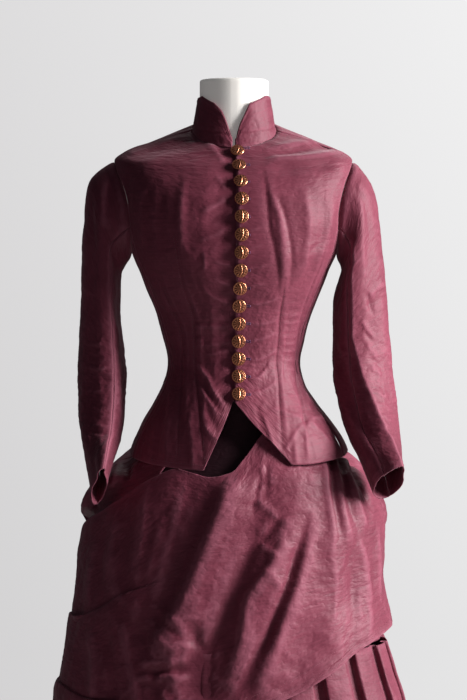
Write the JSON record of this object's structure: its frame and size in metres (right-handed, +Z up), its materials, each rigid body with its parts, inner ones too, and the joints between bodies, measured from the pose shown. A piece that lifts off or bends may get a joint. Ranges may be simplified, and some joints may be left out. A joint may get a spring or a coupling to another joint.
{
  "type": "bustle dress on a dress form",
  "caption": "Two-piece silk bustle dress: buttoned basque bodice, draped apron, looped-up back and pleated skirt, standing on a limbless dress form with a pole and a round foot.",
  "frame": {"origin": "the middle of the underside of the stand's round foot, on the floor", "axes": "+Z up, the front of the dress faces -Y, +X towards the wearer's left"},
  "size_m": [0.6549, 0.6926, 1.453],
  "materials": {
    "bodice_taffeta": "crisp wine-coloured silk taffeta with a clear sheen",
    "sleeve_taffeta": "crisp wine-coloured silk taffeta with a clear sheen",
    "drape_taffeta": "crisp wine-coloured silk taffeta, creased",
    "skirt_taffeta": "crisp wine-coloured silk taffeta, pleated",
    "button_metal": "coppery stamped metal in low relief, worn on its high parts",
    "form_cover": "smooth cream cover",
    "pole_wood": "turned and varnished",
    "foot_iron": "black enamel"
  },
  "bodies": {
    "root": {"bodice_front_left": "bodice_taffeta", "bodice_front_right": "bodice_taffeta", "bodice_side_left": "bodice_taffeta", "bodice_side_right": "bodice_taffeta", "bodice_side_back_left": "bodice_taffeta", "bodice_side_back_right": "bodice_taffeta", "bodice_back_left": "bodice_taffeta", "bodice_back_right": "bodice_taffeta", "collar": "bodice_taffeta", "upper_sleeve_left": "sleeve_taffeta", "under_sleeve_left": "sleeve_taffeta", "upper_sleeve_right": "sleeve_taffeta", "under_sleeve_right": "sleeve_taffeta", "apron_drape": "drape_taffeta", "back_pouf": "drape_taffeta", "back_fall": "drape_taffeta", "foundation_skirt": "skirt_taffeta", "kilt_flounce": "skirt_taffeta", "button_01": "button_metal", "button_02": "button_metal", "button_03": "button_metal", "button_04": "button_metal", "button_05": "button_metal", "button_06": "button_metal", "button_07": "button_metal", "button_08": "button_metal", "button_09": "button_metal", "button_10": "button_metal", "button_11": "button_metal", "button_12": "button_metal", "button_13": "button_metal", "button_14": "button_metal", "button_15": "button_metal", "dress_form": "form_cover", "stand_pole": "pole_wood", "stand_foot": "foot_iron"}
  },
  "joints": []
}
